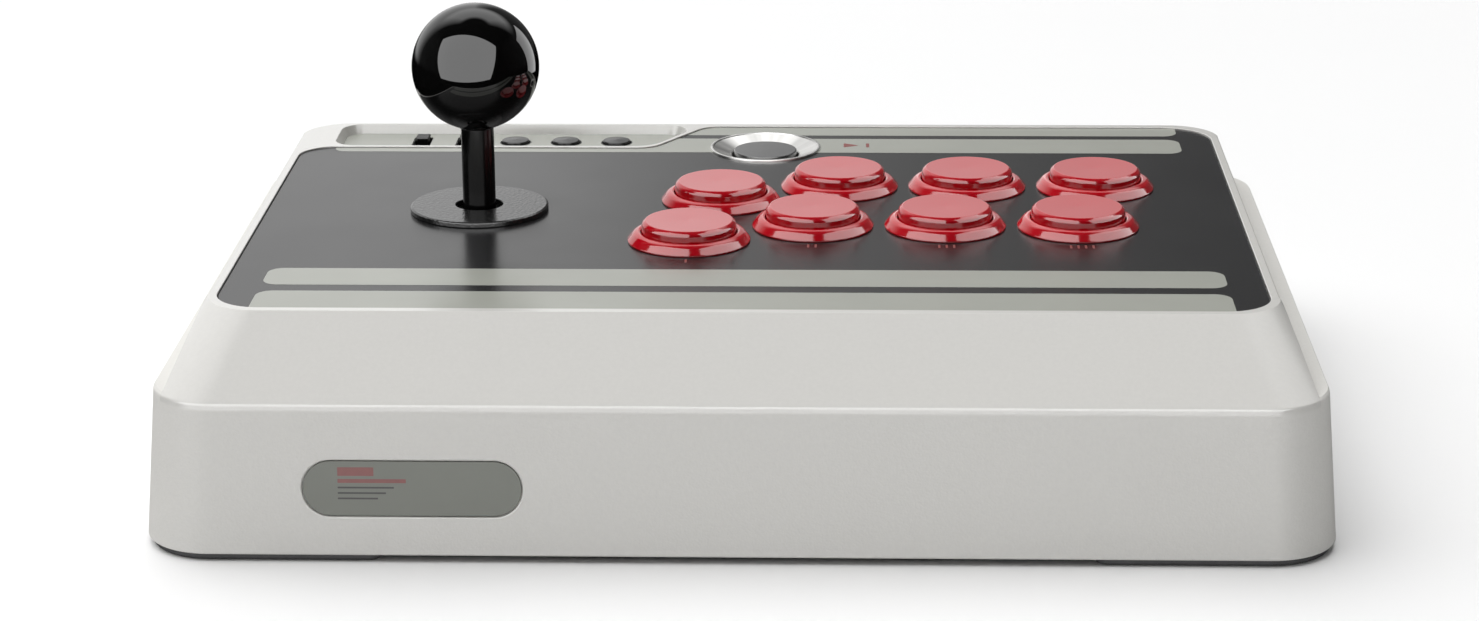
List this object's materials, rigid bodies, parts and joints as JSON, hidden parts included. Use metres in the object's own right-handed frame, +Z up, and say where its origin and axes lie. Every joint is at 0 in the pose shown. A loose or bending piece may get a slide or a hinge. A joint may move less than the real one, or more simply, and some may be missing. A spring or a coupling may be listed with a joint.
{
  "type": "arcade joystick panel",
  "caption": "Low sloped case with a ball-top lever, round push buttons in staggered rows, a start button and a recessed strip of small controls.",
  "frame": {"origin": "centre of the footprint on the surface that the feet stand on", "axes": "+X to the player's right along the long side, -Y towards the player, +Z up"},
  "size_m": [0.3, 0.222, 0.1139],
  "materials": {
    "case_plastic": "fine matt texture, warm light grey",
    "base_plastic": "matt black",
    "panel_black": "semi-gloss black with printed grey bars",
    "grey_trim": "satin greenish grey",
    "foot_rubber": "matt dark grey",
    "screw_steel": "zinc plated",
    "circuit_board": "green board",
    "bright_metal": "bright plated",
    "battery_wrap": "shrink wrap",
    "ball_black": "polished black",
    "black_plastic": "satin black",
    "button_red": "polished deep red",
    "bezel_satin": "turned satin",
    "start_grey": "satin grey",
    "gloss_black": "glossy black"
  },
  "bodies": {
    "cabinet": {"top_case": "case_plastic", "base_plate": "base_plastic", "control_panel": "panel_black", "control_strip": "grey_trim", "front_label": "grey_trim", "foot_front_left": "foot_rubber", "foot_front_right": "foot_rubber", "foot_back_right": "foot_rubber", "foot_back_left": "foot_rubber", "case_screw_front_left": "screw_steel", "case_screw_front_right": "screw_steel", "case_screw_back_right": "screw_steel", "case_screw_back_left": "screw_steel", "main_board": "circuit_board", "stick_switch_board": "circuit_board", "start_switch": "circuit_board", "inlet_port": "bright_metal", "mounting_plate": "bright_metal", "battery_pack": "battery_wrap", "stick_housing": "black_plastic", "restrictor_gate": "black_plastic", "dust_washer": "black_plastic", "button_switch_1": "black_plastic", "button_switch_2": "black_plastic", "button_switch_3": "black_plastic", "button_switch_4": "black_plastic", "button_switch_5": "black_plastic", "button_switch_6": "black_plastic", "button_switch_7": "black_plastic", "button_switch_8": "black_plastic", "button_housing_1": "button_red", "button_housing_2": "button_red", "button_housing_3": "button_red", "button_housing_4": "button_red", "button_housing_5": "button_red", "button_housing_6": "button_red", "button_housing_7": "button_red", "button_housing_8": "button_red", "start_bezel": "bezel_satin"},
    "gimbal": {"pivot_ring": "black_plastic"},
    "lever": {"lever_shaft": "bright_metal", "ball_top": "ball_black", "shaft_cover": "gloss_black", "centering_spring": "bright_metal", "actuator_collar": "black_plastic", "retaining_clip": "bright_metal"},
    "button_1": {"button_plunger_1": "button_red"},
    "button_2": {"button_plunger_2": "button_red"},
    "button_3": {"button_plunger_3": "button_red"},
    "button_4": {"button_plunger_4": "button_red"},
    "button_5": {"button_plunger_5": "button_red"},
    "button_6": {"button_plunger_6": "button_red"},
    "button_7": {"button_plunger_7": "button_red"},
    "button_8": {"button_plunger_8": "button_red"},
    "start_button": {"start_cap": "start_grey"},
    "strip_button_1_body": {"strip_button_1": "gloss_black"},
    "strip_button_2_body": {"strip_button_2": "gloss_black"},
    "strip_button_3_body": {"strip_button_3": "gloss_black"},
    "slide_switch_1_body": {"slide_switch_1": "black_plastic"},
    "slide_switch_2_body": {"slide_switch_2": "black_plastic"}
  },
  "joints": [
    {"name": "lever_fore_aft", "type": "hinge", "parent": "cabinet", "child": "gimbal", "pos_m": [-0.0755, 0.0143, 0.0475], "axis": [1, 0, 0], "range_deg": [-7, 7], "stiffness_Nm_per_rad": 0.45},
    {"name": "lever_side", "type": "hinge", "parent": "gimbal", "child": "lever", "pos_m": [-0.0755, 0.0143, 0.0475], "axis": [0, 1, 0], "range_deg": [-7, 7], "stiffness_Nm_per_rad": 0.45},
    {"name": "button_1_press", "type": "slide", "parent": "cabinet", "child": "button_1", "axis": [0, 0, 1], "range_m": [-0.0025, 0], "stiffness_N_per_m": 250, "springref_m": 0.0015},
    {"name": "button_2_press", "type": "slide", "parent": "cabinet", "child": "button_2", "axis": [0, 0, 1], "range_m": [-0.0025, 0], "stiffness_N_per_m": 250, "springref_m": 0.0015},
    {"name": "button_3_press", "type": "slide", "parent": "cabinet", "child": "button_3", "axis": [0, 0, 1], "range_m": [-0.0025, 0], "stiffness_N_per_m": 250, "springref_m": 0.0015},
    {"name": "button_4_press", "type": "slide", "parent": "cabinet", "child": "button_4", "axis": [0, 0, 1], "range_m": [-0.0025, 0], "stiffness_N_per_m": 250, "springref_m": 0.0015},
    {"name": "button_5_press", "type": "slide", "parent": "cabinet", "child": "button_5", "axis": [0, 0, 1], "range_m": [-0.0025, 0], "stiffness_N_per_m": 250, "springref_m": 0.0015},
    {"name": "button_6_press", "type": "slide", "parent": "cabinet", "child": "button_6", "axis": [0, 0, 1], "range_m": [-0.0025, 0], "stiffness_N_per_m": 250, "springref_m": 0.0015},
    {"name": "button_7_press", "type": "slide", "parent": "cabinet", "child": "button_7", "axis": [0, 0, 1], "range_m": [-0.0025, 0], "stiffness_N_per_m": 250, "springref_m": 0.0015},
    {"name": "button_8_press", "type": "slide", "parent": "cabinet", "child": "button_8", "axis": [0, 0, 1], "range_m": [-0.0025, 0], "stiffness_N_per_m": 250, "springref_m": 0.0015},
    {"name": "start_press", "type": "slide", "parent": "cabinet", "child": "start_button", "axis": [0, 0, 1], "range_m": [-0.0012, 0], "stiffness_N_per_m": 400, "springref_m": 0.001},
    {"name": "strip_button_1_press", "type": "slide", "parent": "cabinet", "child": "strip_button_1_body", "axis": [0, 0, 1], "range_m": [-0.0006, 0], "stiffness_N_per_m": 500, "springref_m": 0.0006},
    {"name": "strip_button_2_press", "type": "slide", "parent": "cabinet", "child": "strip_button_2_body", "axis": [0, 0, 1], "range_m": [-0.0006, 0], "stiffness_N_per_m": 500, "springref_m": 0.0006},
    {"name": "strip_button_3_press", "type": "slide", "parent": "cabinet", "child": "strip_button_3_body", "axis": [0, 0, 1], "range_m": [-0.0006, 0], "stiffness_N_per_m": 500, "springref_m": 0.0006},
    {"name": "slide_switch_1_slide", "type": "slide", "parent": "cabinet", "child": "slide_switch_1_body", "axis": [0, 1, 0], "range_m": [-0.005, 0]},
    {"name": "slide_switch_2_slide", "type": "slide", "parent": "cabinet", "child": "slide_switch_2_body", "axis": [0, 1, 0], "range_m": [-0.005, 0]}
  ]
}
